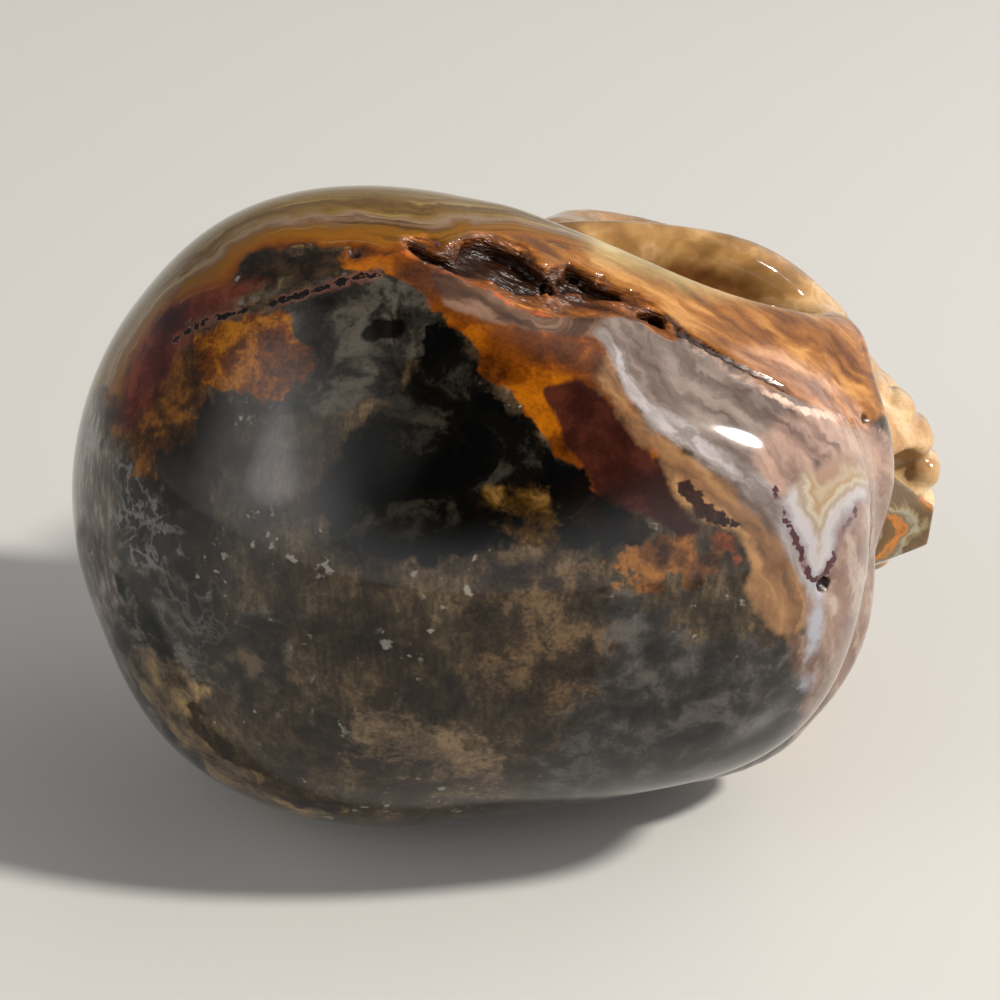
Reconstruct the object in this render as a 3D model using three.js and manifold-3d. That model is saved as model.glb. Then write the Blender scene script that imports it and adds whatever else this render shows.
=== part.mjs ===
// Skull carved from one stone of crazy lace agate, lying on its right side as the photograph shows it.
// The shapes are given in the skull's own axes, in millimetres: +X out of the face, +Y to the skull's left
// and +Z to the crown. The group at the end lays the skull down, with +Z up from the table.

import * as THREE from 'three';
import { ConvexGeometry } from 'three/addons/geometries/ConvexGeometry.js';
import { mergeVertices } from 'three/addons/utils/BufferGeometryUtils.js';
import Module from 'manifold-3d';

// Polished stone
const STONE = { color: '#6b4a32', roughness: 0.12, metalness: 0.0 };

// The rounded mass: how finely its ball is divided and where its rays start
const MASS_DETAIL = 13;
const MASS_HEART = [14, 0, -12];
const RAY_START = 82;

// Braincase, forehead, back of the head and the boss on each side
const BRAINCASE = { at: [-6, 0, 3], radii: [40, 35.5, 33] };
const FOREHEAD = { at: [19.5, 0, 2], radii: [25, 26.6, 25], power: 2.5, blend: 11 };
const OCCIPUT = { at: [-27, 0, -5], radii: [19.5, 28, 22], blend: 12 };
const BOSS = { at: [-16, 21, 5], radii: [20, 14.5, 18], blend: 10 };
const NAPE_HOLLOW = { at: [-18, 0, -47], radii: [21, 40, 15], blend: 8 };

// Ridge over the temple, brow, and the post at the outer side of the eye socket
const TEMPLE_LINE = {
  path: [[-2, 29, 2], [10, 27.6, 3], [22, 26, 3], [33, 25, 0], [37, 23.5, -5]], radius: [5, 3], blend: 6,
};
const BROW = { path: [[42.6, 0, -5], [43.6, 9, -3], [41.2, 16.5, -2], [37, 22.6, -5]], radius: [3.3, 3.1], blend: 6 };
const EYE_POST = { path: [[37, 22.6, -5], [36.6, 23.6, -11], [37.8, 21.8, -17]], radius: [2.9, 2.9], blend: 3 };

// Face, cheeks, floor of the temple, upper jaw, gums and lower jaw
const FACE = { at: [26, 0, -27], radii: [18, 17, 16], power: 2.5, blend: 7 };
const CHEEKS = { at: [18, 0, -27], radii: [19, 24, 12], power: 2.8, blend: 5 };
const TEMPLE_FLOOR = { at: [21, 16, -21], radii: [19, 14.5, 6.5], power: 2.6, blend: 4 };
const JAW = {
  path: [[49, 0, -42], [46.5, 7, -42], [37, 15.5, -41.5], [22, 22, -39.5], [9, 24.8, -34], [4, 25.5, -22]],
  radius: [5.2, 4.4], blend: 4,
};
const GUMS = { at: [36.5, 0, -33], radii: [18.2, 13, 9.5], power: 2.4, blend: 4 };
const UPPER_JAW = { at: [39.5, 0, -27.5], radii: [14, 11.5, 8.5], power: 2.2, blend: 4 };

// Cheek arch, which stands clear of the temple
const ARCH = {
  path: [[44, 10.5, -21], [40.2, 17.2, -19.5], [35.2, 23.8, -17.5], [27, 28.9, -16.5], [16, 29.8, -16],
    [6, 29, -15], [-1, 27, -14]],
  radius: 3.2, sides: 9, steps: 14,
};

// Hollows: temple, eye socket, the nose's two pits, under the cheek, under the jaw
const TEMPLE = { at: [21.5, 34, -7], radii: [15.5, 12.5, 9] };
const SOCKET = { at: [45, 12.6, -11.5], radii: [15, 8.2, 7.4] };
const NOSTRIL_LOW = { at: [51, 2.9, -25], radii: [12, 3.3, 4.6] };
const NOSTRIL_HIGH = { at: [51, 1.2, -21], radii: [10, 2.5, 3.4] };
const CHEEK_HOLLOW = { at: [31, 29, -29.5], radii: [14, 12, 6.5] };
const JAW_HOLLOW = { at: [17, 0, -49], radii: [21, 15, 8] };

// Nose bones: a wedge with flat facets
const NOSE = { tip: [55.2, 2.3, -16], root: [45.5, 4, -7], side: [46, 7.4, -15], under: [46, 2, -20], back: 38 };

// Teeth: x, y and turn in degrees of each, from the middle back; then each row's height and size
const SEATS = [[54.9, 2.25, 6], [53.3, 6.3, 32], [50.4, 9.4, 55], [46.6, 11.3, 68], [42.4, 12.4, 76], [38, 13.1, 82]];
const ROWS = [
  { z: -32.4, shift: 0, spread: 1, radius: 2.35, height: 8.4 },
  { z: -39.4, shift: -1, spread: 0.97, radius: 2.25, height: 7.2 },
];

// Open crack over the left temple and the smooth fold that carries it on, as long lenses turned about +Z
const CRACK = [
  { at: [-9, 35.3, 16], radii: [10, 1.7, 1.6], turn: -7 },
  { at: [4, 33, 15], radii: [9, 2.2, 1.9], turn: -13 },
  { at: [14, 30.6, 13.4], radii: [6, 1.6, 1.5], turn: -20 },
  { at: [23.5, 27.2, 14.1], radii: [10, 1.7, 1.3], turn: -25 },
];

// Small pits in the forehead
const PITS = [{ at: [35.2, 21.3, 12.9], radii: [1.7, 1.2, 1.2] }, { at: [37.7, 3.6, 21.7], radii: [1, 0.8, 1] }];

// Flat ground under the jaw, and the way up when the skull lies at rest
const JAW_FLAT = -45.6;
const REST_UP = [-0.0263, 0.9772, 0.2109];

const wasm = await Module();
wasm.setup();

// Distance to an ellipsoid, near enough for blending
function ellipsoid(p, { at, radii }) {
  const q = p.map((v, i) => v - at[i]);
  const k0 = Math.hypot(...q.map((v, i) => v / radii[i]));
  const k1 = Math.hypot(...q.map((v, i) => v / radii[i] ** 2));
  return k0 * (k0 - 1) / Math.max(k1, 1e-6);
}

// Distance to a block with rounded corners; the higher the power, the squarer
function block(p, { at, radii, power }) {
  const sum = p.reduce((total, v, i) => total + Math.abs((v - at[i]) / radii[i]) ** power, 0);
  return (sum ** (1 / power) - 1) * Math.min(...radii);
}

// Points and radii along a smooth path, for a bar
function bar({ path, radius }) {
  const points = new THREE.CatmullRomCurve3(path.map((v) => new THREE.Vector3(...v)), false, 'catmullrom', 0.5)
    .getPoints(4 * (path.length - 1));
  return points.map((point, i) => ({
    point, radius: THREE.MathUtils.lerp(...radius, i / (points.length - 1)),
  }));
}

// Distance to a bar of round section
function toBar(p, links) {
  const here = new THREE.Vector3(...p);
  const line = new THREE.Line3();
  const near = new THREE.Vector3();
  let least = Infinity;
  for (let i = 1; i < links.length; i++) {
    line.set(links[i - 1].point, links[i].point);
    const t = line.closestPointToPointParameter(here, true);
    line.at(t, near);
    least = Math.min(least, near.distanceTo(here) - THREE.MathUtils.lerp(links[i - 1].radius, links[i].radius, t));
  }
  return least;
}

// The nearer of two distances, with a fillet where they meet
function join(a, b, blend) {
  const h = THREE.MathUtils.clamp(0.5 + 0.5 * (b - a) / blend, 0, 1);
  return b + (a - b) * h - blend * h * (1 - h);
}

const LINKS = new Map([TEMPLE_LINE, BROW, EYE_POST, JAW].map((piece) => [piece, bar(piece)]));

// The whole rounded mass, the same on both sides: negative inside
function mass(x, y, z) {
  const p = [x, Math.abs(y), z];
  const addBar = (d, piece) => join(d, toBar(p, LINKS.get(piece)), piece.blend);
  const addBlock = (d, piece) => join(d, block(p, piece), piece.blend);
  let d = ellipsoid(p, BRAINCASE);
  d = addBlock(d, FOREHEAD);
  d = join(d, ellipsoid(p, OCCIPUT), OCCIPUT.blend);
  d = join(d, ellipsoid(p, BOSS), BOSS.blend);
  d = addBar(d, TEMPLE_LINE);
  d = [FACE, CHEEKS, TEMPLE_FLOOR].reduce(addBlock, d);
  d = [BROW, EYE_POST, JAW].reduce(addBar, d);
  d = [GUMS, UPPER_JAW].reduce(addBlock, d);
  return -join(-d, ellipsoid(p, NAPE_HOLLOW), NAPE_HOLLOW.blend);
}

// A closed solid from a geometry, through its shared points alone
function solid(geometry) {
  geometry.deleteAttribute('normal');
  geometry.deleteAttribute('uv');
  const merged = mergeVertices(geometry, 1e-4);
  return new wasm.Manifold(new wasm.Mesh({
    numProp: 3,
    vertProperties: Float32Array.from(merged.attributes.position.array),
    triVerts: Uint32Array.from(merged.index.array),
  }));
}

// The mass as a divided ball whose points are drawn in along rays until they meet the surface
function massSolid() {
  const geometry = new THREE.IcosahedronGeometry(1, MASS_DETAIL);
  const position = geometry.attributes.position;
  const heart = new THREE.Vector3(...MASS_HEART);
  const ray = new THREE.Vector3();
  const point = new THREE.Vector3();
  for (let i = 0; i < position.count; i++) {
    ray.fromBufferAttribute(position, i).normalize();
    let reach = RAY_START;
    for (let step = 0; step < 60; step++) {
      point.copy(heart).addScaledVector(ray, reach);
      reach -= 0.7 * THREE.MathUtils.clamp(mass(point.x, point.y, point.z), -1, 20);
    }
    point.copy(heart).addScaledVector(ray, reach);
    position.setXYZ(i, point.x, point.y, point.z);
  }
  return solid(geometry);
}

// A scaled ball, on the left (side 1) or the right (side -1)
function ball({ at, radii, turn = 0 }, side = 1, around = 20, down = 14) {
  const geometry = new THREE.SphereGeometry(1, around, down);
  geometry.scale(...radii).rotateZ(THREE.MathUtils.degToRad(turn));
  return solid(geometry.translate(at[0], side * at[1], at[2]));
}

// The cheek arch, a round section run along its path, on the left (side 1) or the right (side -1)
function arch(side) {
  const curve = new THREE.CatmullRomCurve3(ARCH.path.map(([x, y, z]) => new THREE.Vector3(x, side * y, z)));
  const section = new THREE.Shape(new THREE.Path().absarc(0, 0, ARCH.radius, 0, 2 * Math.PI).getPoints(ARCH.sides));
  return solid(new THREE.ExtrudeGeometry(section, { steps: ARCH.steps, extrudePath: curve }));
}

// Nose bones, one wedge across the middle
function nose() {
  const corners = [NOSE.tip, NOSE.root, NOSE.side, NOSE.under].flatMap(([x, y, z]) => [[x, y, z], [x, -y, z]]);
  const behind = [NOSE.root, NOSE.side, NOSE.under].flatMap(([, y, z]) => [[NOSE.back, y, z], [NOSE.back, -y, z]]);
  return solid(new ConvexGeometry([...corners, ...behind].map((v) => new THREE.Vector3(...v))));
}

// One tooth, round at both ends and a little wider across the jaw than through it
function tooth(row, [x, y, turn], side) {
  const geometry = new THREE.CapsuleGeometry(row.radius, row.height - 2 * row.radius, 2, 7);
  geometry.rotateX(Math.PI / 2);
  geometry.rotateZ(side * THREE.MathUtils.degToRad(turn));
  return solid(geometry.translate(x + row.shift, side * y * row.spread, row.z));
}

// Ground flat, a box that takes off all below it
function below(z) {
  const size = 200;
  return solid(new THREE.BoxGeometry(size, size, size).translate(0, 0, z - size / 2));
}

// Carving, in the order of the cuts
const SIDES = [1, -1];
const { Manifold } = wasm;
let stone = massSolid();
stone = stone.subtract(Manifold.union(SIDES.map((side) => ball(TEMPLE, side, 22, 14))));
stone = stone.add(Manifold.union(SIDES.map(arch)));
stone = stone.subtract(Manifold.union(SIDES.map((side) => ball(SOCKET, side, 18, 12))));
stone = stone.add(nose());
stone = stone.subtract(Manifold.union(SIDES.flatMap((side) => [
  ball(NOSTRIL_LOW, side, 10, 8), ball(NOSTRIL_HIGH, side, 10, 8), ball(CHEEK_HOLLOW, side, 20, 12),
])));
stone = stone.add(Manifold.union(SIDES.flatMap((side) => (
  ROWS.flatMap((row) => SEATS.map((seat) => tooth(row, seat, side)))
))));
stone = stone.subtract(Manifold.union([
  ball(JAW_HOLLOW, 1, 20, 12), ...CRACK.map((lens) => ball(lens, 1, 8, 12)), ...PITS.map((pit) => ball(pit, 1, 6, 4)),
  below(JAW_FLAT),
]));

// The finished solid as a mesh
const carved = stone.getMesh();
const geometry = new THREE.BufferGeometry();
geometry.setAttribute('position', new THREE.BufferAttribute(carved.vertProperties, 3));
geometry.setIndex(new THREE.BufferAttribute(carved.triVerts, 1));
geometry.computeVertexNormals();
const skull = new THREE.Mesh(geometry, new THREE.MeshStandardMaterial(STONE));
skull.name = 'skull';

// Laid down: the skull's left side up, its face to +X, and the middle of its box over the origin
const up = new THREE.Vector3(...REST_UP).normalize();
const ahead = new THREE.Vector3(1, 0, 0).projectOnPlane(up).normalize();
const away = new THREE.Vector3().crossVectors(up, ahead);
skull.quaternion.setFromRotationMatrix(new THREE.Matrix4().makeBasis(ahead, away, up).transpose());
skull.updateMatrixWorld(true);
const box = new THREE.Box3().setFromObject(skull, true);
const middle = box.getCenter(new THREE.Vector3());
skull.position.set(-middle.x, -middle.y, -box.min.z);

const object = new THREE.Group();
object.add(skull);

export default object;
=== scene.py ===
import math

import bpy
import numpy as np
from mathutils import Matrix, Vector


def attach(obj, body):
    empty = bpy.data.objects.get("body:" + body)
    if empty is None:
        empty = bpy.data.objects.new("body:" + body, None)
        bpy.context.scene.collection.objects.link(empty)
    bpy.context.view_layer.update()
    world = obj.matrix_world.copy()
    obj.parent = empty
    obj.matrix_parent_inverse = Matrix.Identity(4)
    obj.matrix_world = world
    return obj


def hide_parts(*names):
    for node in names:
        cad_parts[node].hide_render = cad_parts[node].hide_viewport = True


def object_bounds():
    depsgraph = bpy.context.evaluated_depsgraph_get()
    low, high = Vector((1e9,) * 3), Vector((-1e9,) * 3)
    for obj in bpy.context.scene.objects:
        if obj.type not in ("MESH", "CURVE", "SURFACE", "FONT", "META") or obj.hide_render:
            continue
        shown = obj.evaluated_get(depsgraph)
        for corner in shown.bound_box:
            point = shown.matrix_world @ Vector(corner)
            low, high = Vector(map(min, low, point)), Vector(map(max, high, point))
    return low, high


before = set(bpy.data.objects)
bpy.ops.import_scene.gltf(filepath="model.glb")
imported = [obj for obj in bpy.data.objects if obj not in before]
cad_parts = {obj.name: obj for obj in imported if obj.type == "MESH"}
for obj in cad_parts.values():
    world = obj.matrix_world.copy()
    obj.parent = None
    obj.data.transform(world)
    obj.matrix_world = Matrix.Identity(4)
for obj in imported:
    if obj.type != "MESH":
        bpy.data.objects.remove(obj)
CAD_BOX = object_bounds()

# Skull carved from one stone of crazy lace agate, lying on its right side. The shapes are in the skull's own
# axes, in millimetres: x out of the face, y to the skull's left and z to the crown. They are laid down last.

bl_info = {
    "name": "Lace Agate Skull",
    "version": (1, 0, 0),
    "blender": (4, 5, 0),
    "location": "View3D > Sidebar > Agate Skull",
    "description": "A skull carved from one polished stone of crazy lace agate, and the stage it is shown on",
    "category": "Object",
}

MM = 0.001
FAR = 9.0  # mm, a distance that is far enough to touch nothing

# Shapes, the same values as the solid

BRAINCASE = dict(at=(-6, 0, 3), radii=(40, 35.5, 33))
FOREHEAD = dict(at=(19.5, 0, 2), radii=(25, 26.6, 25), power=2.5, blend=11)
OCCIPUT = dict(at=(-27, 0, -5), radii=(19.5, 28, 22), blend=12)
BOSS = dict(at=(-16, 21, 5), radii=(20, 14.5, 18), blend=10)
NAPE_HOLLOW = dict(at=(-18, 0, -47), radii=(21, 40, 15), blend=8)

TEMPLE_LINE = dict(
    path=((-2, 29, 2), (10, 27.6, 3), (22, 26, 3), (33, 25, 0), (37, 23.5, -5)), radius=(5, 3), blend=6)
BROW = dict(path=((42.6, 0, -5), (43.6, 9, -3), (41.2, 16.5, -2), (37, 22.6, -5)), radius=(3.3, 3.1), blend=6)
EYE_POST = dict(path=((37, 22.6, -5), (36.6, 23.6, -11), (37.8, 21.8, -17)), radius=(2.9, 2.9), blend=3)

FACE = dict(at=(26, 0, -27), radii=(18, 17, 16), power=2.5, blend=7)
CHEEKS = dict(at=(18, 0, -27), radii=(19, 24, 12), power=2.8, blend=5)
TEMPLE_FLOOR = dict(at=(21, 16, -21), radii=(19, 14.5, 6.5), power=2.6, blend=4)
JAW = dict(
    path=((49, 0, -42), (46.5, 7, -42), (37, 15.5, -41.5), (22, 22, -39.5), (9, 24.8, -34), (4, 25.5, -22)),
    radius=(5.2, 4.4), blend=4)
GUMS = dict(at=(36.5, 0, -33), radii=(18.2, 13, 9.5), power=2.4, blend=4)
UPPER_JAW = dict(at=(39.5, 0, -27.5), radii=(14, 11.5, 8.5), power=2.2, blend=4)
ARCH = dict(
    path=((44, 10.5, -21), (40.2, 17.2, -19.5), (35.2, 23.8, -17.5), (27, 28.9, -16.5), (16, 29.8, -16),
          (6, 29, -15), (-1, 27, -14)),
    radius=(3.2, 3.2), blend=2.5)

TEMPLE = dict(at=(21.5, 34, -7), radii=(15.5, 12.5, 9), blend=2.5)
SOCKET = dict(at=(45, 12.6, -11.5), radii=(15, 8.2, 7.4), blend=1.8)
NOSTRIL_LOW = dict(at=(51, 2.9, -25), radii=(12, 3.3, 4.6))
NOSTRIL_HIGH = dict(at=(51, 1.2, -21), radii=(10, 2.5, 3.4))
CHEEK_HOLLOW = dict(at=(31, 29, -29.5), radii=(14, 12, 6.5), blend=4)
JAW_HOLLOW = dict(at=(17, 0, -49), radii=(21, 15, 8), blend=3)

NOSE_TIP, NOSE_ROOT, NOSE_SIDE, NOSE_UNDER = (55.2, 2.3, -16), (45.5, 4, -7), (46, 7.4, -15), (46, 2, -20)
NOSE_BACK = 38
# Where the nose's own bands begin, how far they sweep back from its ridge, and a distance clear of them
NOSE_START, NOSE_SWEEP, CLEAR_OF_NOSE = 46.5, 1.3, 5

# Teeth: x, y and turn in degrees from the middle back, then each row's height, shift, spread and radii
SEATS = (
    (54.9, 2.25, 6), (53.3, 6.3, 32), (50.4, 9.4, 55), (46.6, 11.3, 68), (42.4, 12.4, 76), (38, 13.1, 82))
ROWS = ((-32.4, 0, 1, (2.35, 2.35, 4.2)), (-39.4, -1, 0.97, (2.25, 2.25, 3.6)))

FOLD = dict(
    path=((15.5, 29.6, 13.7), (19.3, 28, 14.3), (22.7, 26.6, 14.7), (26.9, 25, 14.8), (31.1, 23.2, 14.5)),
    radius=(0.8, 0.35))
PITS = (
    dict(at=(34.9, 22.2, 13.4), radii=(1.0, 0.5, 0.6)),
    dict(at=(37.7, 3.6, 21.7), radii=(1.2, 0.9, 1.2)),
    dict(at=(-19.1, 33.6, 17.3), radii=(0.8, 0.8, 0.8)),
    dict(at=(41.8, 17.9, 2.8), radii=(0.7, 0.7, 0.7)),
)
BLACK_SEAM = dict(
    path=((-34.3, 24.5, 16.9), (-27, 28.2, 20.1), (-22.4, 30.4, 20.4), (-15.9, 32.4, 20)), radius=(0.1, 0.05))
SEAM_RAGGED, SEAM_GRAIN, SEAM_SEED = 0.35, 0.9, 8
# Broken stone of the crack, in two sizes: how far it is drawn out along the crack, grain, seed and share
CRACK_SLANT, CRACK_GRAINS = 0.4, ((2.5, 2.1, 5, 1.0), (1.8, 1.05, 6, 0.6))
BAND_RAGGED, BAND_DEPTH, BAND_LIP, BAND_SLOPE = 0.4, 0.8, 0.2, 0.9
HOLE_RAGGED, HOLE_DEPTH, HOLE_SLANT = 0.35, 2.5, 0.6
# The crack's place: from back to front in x, left of the third, above the fourth, and that near the surface
CRACK_PLACE = (-16, 26, 16, 2, 6)
CRACK_EDGE, MARK_EDGE = 0.3, 0.35
MIDDLE_EASE, FINE_FILLET, NOSTRIL_FILLET, NOSTRIL_EDGE = 0.02, 0.6, 1.5, 0.9
TOOTH_POWER, TOOTH_FILLET = 2.6, 0.5

JAW_FLAT = -45.6
REST_UP = (-0.0263, 0.9772, 0.2109)
REST_SHIFT = (-3.9985, -6.2493, 36.22)  # from the laid skull's own origin to the box's bottom middle
GRID, QUICK_STEP = ((-50, 62), (0, 41), (-48, 40)), 1.3

# The photograph's view, in the skull's axes: angles in degrees, distance in mm, focal length in image widths

VIEW_ROLL, VIEW_PITCH, VIEW_TURN = 18.364, -2.278, 7.923
VIEW_DISTANCE, VIEW_FOCAL, VIEW_AIM = 420.0, 3.5659, (1.354, 1.349)

# Stage, in metres. The key light's angles are in degrees from the way the face looks and up from the floor

FLOOR, FLOOR_ROUGHNESS = ((-4, -3, 0), (4, -3, 0), (4, 6, 0), (-4, 6, 0)), 0.32
KEY_AZIMUTH, KEY_ELEVATION, KEY_DISTANCE, KEY_AIM = -10, 47, 1.1, (0, 0, 0.035)
KEY_SIZE, KEY_COLOUR, AIR_COLOUR = (0.1, 0.14), "#fff8ef", (0.995, 0.99, 0.985, 1)
# Air: directions, the cosines of the angles from them where each thing begins and is full, and its strength.
# The dark card, the dim air behind at the left, and the soft glow, wide, narrower and at its heart
DARK_CARD = ((0.03, -0.56, 0.83), 0.64, 0.87, 0.02)
BACK_SHADE = ((-0.62, 0.62, 0.48), 0.25, 0.76, 0.18)
GLOWS = (
    ((-0.62, -0.5, 0.6), 0.78, 0.97, 0.55), ((-0.75, -0.56, 0.36), 0.86, 0.99, 0.8),
    ((-0.75, -0.56, 0.36), 0.985, 0.9995, 2.2))


def hex_rgb(text):
    """Linear colour of an sRGB hex value, with alpha 1."""
    value = text.lstrip("#")
    srgb = [int(value[i:i + 2], 16) / 255 for i in (0, 2, 4)]
    return tuple(c / 12.92 if c <= 0.04045 else ((c + 0.055) / 1.055) ** 2.4 for c in srgb) + (1.0,)


# Fields: negative inside, in millimetres. The skull is one stone whose masses run into each other with wide
# fillets, and whose crack has broken, undercut walls. Curves and boxes can't give that, so a field does.


def ellipsoid(p, at, radii):
    """Distance to an ellipsoid, near enough: k0 (k0 - 1) / k1, where k0 is the length of p / radii and k1
    that of p / radii squared."""
    q = [p[i] - at[i] for i in range(3)]
    k0 = np.sqrt(sum((q[i] / radii[i]) ** 2 for i in range(3)))
    k1 = np.sqrt(sum((q[i] / radii[i] ** 2) ** 2 for i in range(3)))
    return k0 * (k0 - 1) / np.maximum(k1, 1e-6)


def block(p, at, radii, power, turn=0.0):
    """Distance to a block with rounded corners: the sum of |p / radii| to a power, its root less one, times
    the least radius. turn is about z, in degrees."""
    q = [p[i] - at[i] for i in range(3)]
    if turn:
        c, s = math.cos(math.radians(turn)), math.sin(math.radians(turn))
        q[0], q[1] = c * q[0] + s * q[1], c * q[1] - s * q[0]
    total = sum(np.abs(q[i] / radii[i]) ** power for i in range(3))
    return (total ** (1 / power) - 1) * min(radii)


def smooth_path(points, per=4, closed=False):
    """Catmull-Rom curve through the points, per steps to a span; an open one has its ends mirrored."""
    P = np.array(points, float)
    if closed:
        P = np.vstack([P[-1:], P, P[:2]])
    else:
        P = np.vstack([2 * P[0] - P[1], P, 2 * P[-1] - P[-2]])
    a, b, c, d = (P[i:len(P) - 3 + i, None] for i in range(4))
    t = (np.arange(per) / per)[None, :, None]
    curve = 2 * b + (c - a) * t + (2 * a - 5 * b + 4 * c - d) * t ** 2 + (3 * b - a - 3 * c + d) * t ** 3
    curve *= 0.5
    curve = curve.reshape(-1, P.shape[1])
    return curve if closed else np.vstack([curve, P[-2]])


def bar(p, path, radius):
    """Distance to a bar of round section along a smooth path, its radius going evenly from first to last."""
    points = smooth_path(path)
    radii = np.linspace(radius[0], radius[1], len(points))
    least = np.float32(1e6)
    for a, b, ra, rb in zip(points[:-1], points[1:], radii[:-1], radii[1:]):
        along, here = b - a, [p[i] - np.float32(a[i]) for i in range(3)]
        t = np.clip(sum(here[i] * np.float32(along[i]) for i in range(3)) / np.float32(along @ along), 0, 1)
        far = np.sqrt(sum((here[i] - t * np.float32(along[i])) ** 2 for i in range(3)))
        least = np.minimum(least, far - np.float32(ra) - t * np.float32(rb - ra))
    return least


def join(a, b, k):
    """The nearer of two distances, with a fillet of size k."""
    h = np.clip(0.5 + 0.5 * (b - a) / k, 0, 1)
    return b + (a - b) * h - k * h * (1 - h)


def cut(a, b, k):
    """What is left of a when b is taken out, with the edge eased by k."""
    return -join(-a, b, k)


def facet(p, a, b, c):
    """Distance in front of the plane through three points, anticlockwise as seen from outside."""
    a, b, c = (np.array(v, float) for v in (a, b, c))
    n = np.cross(b - a, c - a)
    n /= np.linalg.norm(n)
    return sum((p[i] - a[i]) * n[i] for i in range(3))


def nose_wedge(p):
    """The nose bones: a wedge of flat facets, the greatest of the distances to its planes."""
    tip, mirror = NOSE_TIP, (NOSE_TIP[0], -NOSE_TIP[1], NOSE_TIP[2])
    d = facet(p, tip, NOSE_ROOT, mirror)
    d = np.maximum(d, facet(p, tip, NOSE_SIDE, NOSE_ROOT))
    d = np.maximum(d, facet(p, tip, mirror, NOSE_UNDER))
    d = np.maximum(d, facet(p, tip, NOSE_UNDER, NOSE_SIDE))
    return np.maximum(d, NOSE_BACK - p[0])


def teeth(p):
    """Both rows of teeth, each tooth a rounded block turned to its seat."""
    d = np.float32(1e6)
    for height, shift, spread, radii in ROWS:
        for x, y, turn in SEATS:
            tooth = block(p, (x + shift, y * spread, height), radii, TOOTH_POWER, turn)
            d = join(d, tooth, TOOTH_FILLET)
    return d


def carved_mass(x, y, z):
    """The skull without its crack and pits, the same on both sides: masses joined, hollows taken out."""
    p = (x, np.sqrt(y * y + MIDDLE_EASE), z)

    def add_bar(d, piece):
        return join(d, bar(p, piece["path"], piece["radius"]), piece["blend"])

    def add_block(d, piece):
        return join(d, block(p, piece["at"], piece["radii"], piece["power"]), piece["blend"])

    def take(d, piece):
        return cut(d, ellipsoid(p, piece["at"], piece["radii"]), piece["blend"])

    d = add_block(ellipsoid(p, **BRAINCASE), FOREHEAD)
    for piece in (OCCIPUT, BOSS):
        d = join(d, ellipsoid(p, piece["at"], piece["radii"]), piece["blend"])
    d = add_bar(d, TEMPLE_LINE)
    for piece in (FACE, CHEEKS, TEMPLE_FLOOR):
        d = add_block(d, piece)
    for piece in (BROW, EYE_POST, JAW):
        d = add_bar(d, piece)
    for piece in (GUMS, UPPER_JAW):
        d = add_block(d, piece)
    d = add_bar(take(take(d, NAPE_HOLLOW), TEMPLE), ARCH)
    d = join(take(d, SOCKET), nose_wedge(p), FINE_FILLET)
    nostrils = join(ellipsoid(p, **NOSTRIL_LOW), ellipsoid(p, **NOSTRIL_HIGH), NOSTRIL_FILLET)
    d = cut(d, nostrils, NOSTRIL_EDGE)
    d = join(take(d, CHEEK_HOLLOW), teeth(p), FINE_FILLET)
    return take(d, JAW_HOLLOW)


def lattice_noise(x, y, z, size, seed):
    """Noise from -1 to 1: seeded random values on a lattice of that size, eased between its points."""
    table = np.random.default_rng(seed).uniform(-1, 1, (32, 32, 32)).astype(np.float32)
    cell, part = zip(*((np.floor(v / size).astype(int), v / size - np.floor(v / size)) for v in (x, y, z)))
    part = [f * f * (3 - 2 * f) for f in part]
    total = 0
    for i in (0, 1):
        for j in (0, 1):
            for k in (0, 1):
                weight = 1
                for f, corner in zip(part, (i, j, k)):
                    weight = weight * (f if corner else 1 - f)
                total = total + weight * table[(cell[0] + i) % 32, (cell[1] + j) % 32, (cell[2] + k) % 32]
    return total


def open_crack(x, y, z, mass, ragged):
    """The open crack: a shallow band of broken stone and three holes that slant in under its near lip. Each
    is what lies inside its outline on the plane of the view and less than its depth under the surface."""
    along, broken = x - CRACK_SLANT * z, 0
    for drawn, grain, seed, part in CRACK_GRAINS:
        broken = broken + part * lattice_noise(along / drawn, y, z, grain, seed)
    broken *= ragged
    u, v = on_plane(x, y, z)
    band = to_line(OUTLINES["crack_band"], u, v, True) + BAND_RAGGED * broken
    d = np.maximum(band, -mass - np.minimum(BAND_DEPTH + broken, BAND_LIP - BAND_SLOPE * band))
    for outline in HOLLOWS:
        hole = to_line(outline, u, v - HOLE_SLANT * mass, True) + HOLE_RAGGED * broken
        d = np.minimum(d, np.maximum(hole, -mass - HOLE_DEPTH - broken))
    return d


def small_marks(x, y, z):
    """The fold that carries the crack on, the black seam and the pits."""
    p = (x, y, z)
    d = bar(p, **FOLD)
    ragged = SEAM_RAGGED * lattice_noise(x, y, z, SEAM_GRAIN, SEAM_SEED)
    d = np.minimum(d, bar(p, **BLACK_SEAM) + ragged)
    for pit in PITS:
        d = np.minimum(d, ellipsoid(p, **pit))
    return d


def finished(x, y, z, ragged, base=None):
    """The whole stone: the mass less the crack, the small marks and all below the ground flat."""
    mass = carved_mass(x, y, z) if base is None else base
    back, front, left, low, reach = CRACK_PLACE
    near = (np.abs(mass) < reach) & (x > back) & (x < front) & (y > left) & (z > low)
    void = np.full(mass.shape, FAR, np.float32)
    void[near] = open_crack(x[near], y[near], z[near], mass[near], ragged)
    d = cut(mass, void, CRACK_EDGE)
    d = cut(d, small_marks(x, y, z), MARK_EDGE)
    return np.maximum(d, JAW_FLAT - z)


# Mesh of a field


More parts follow.
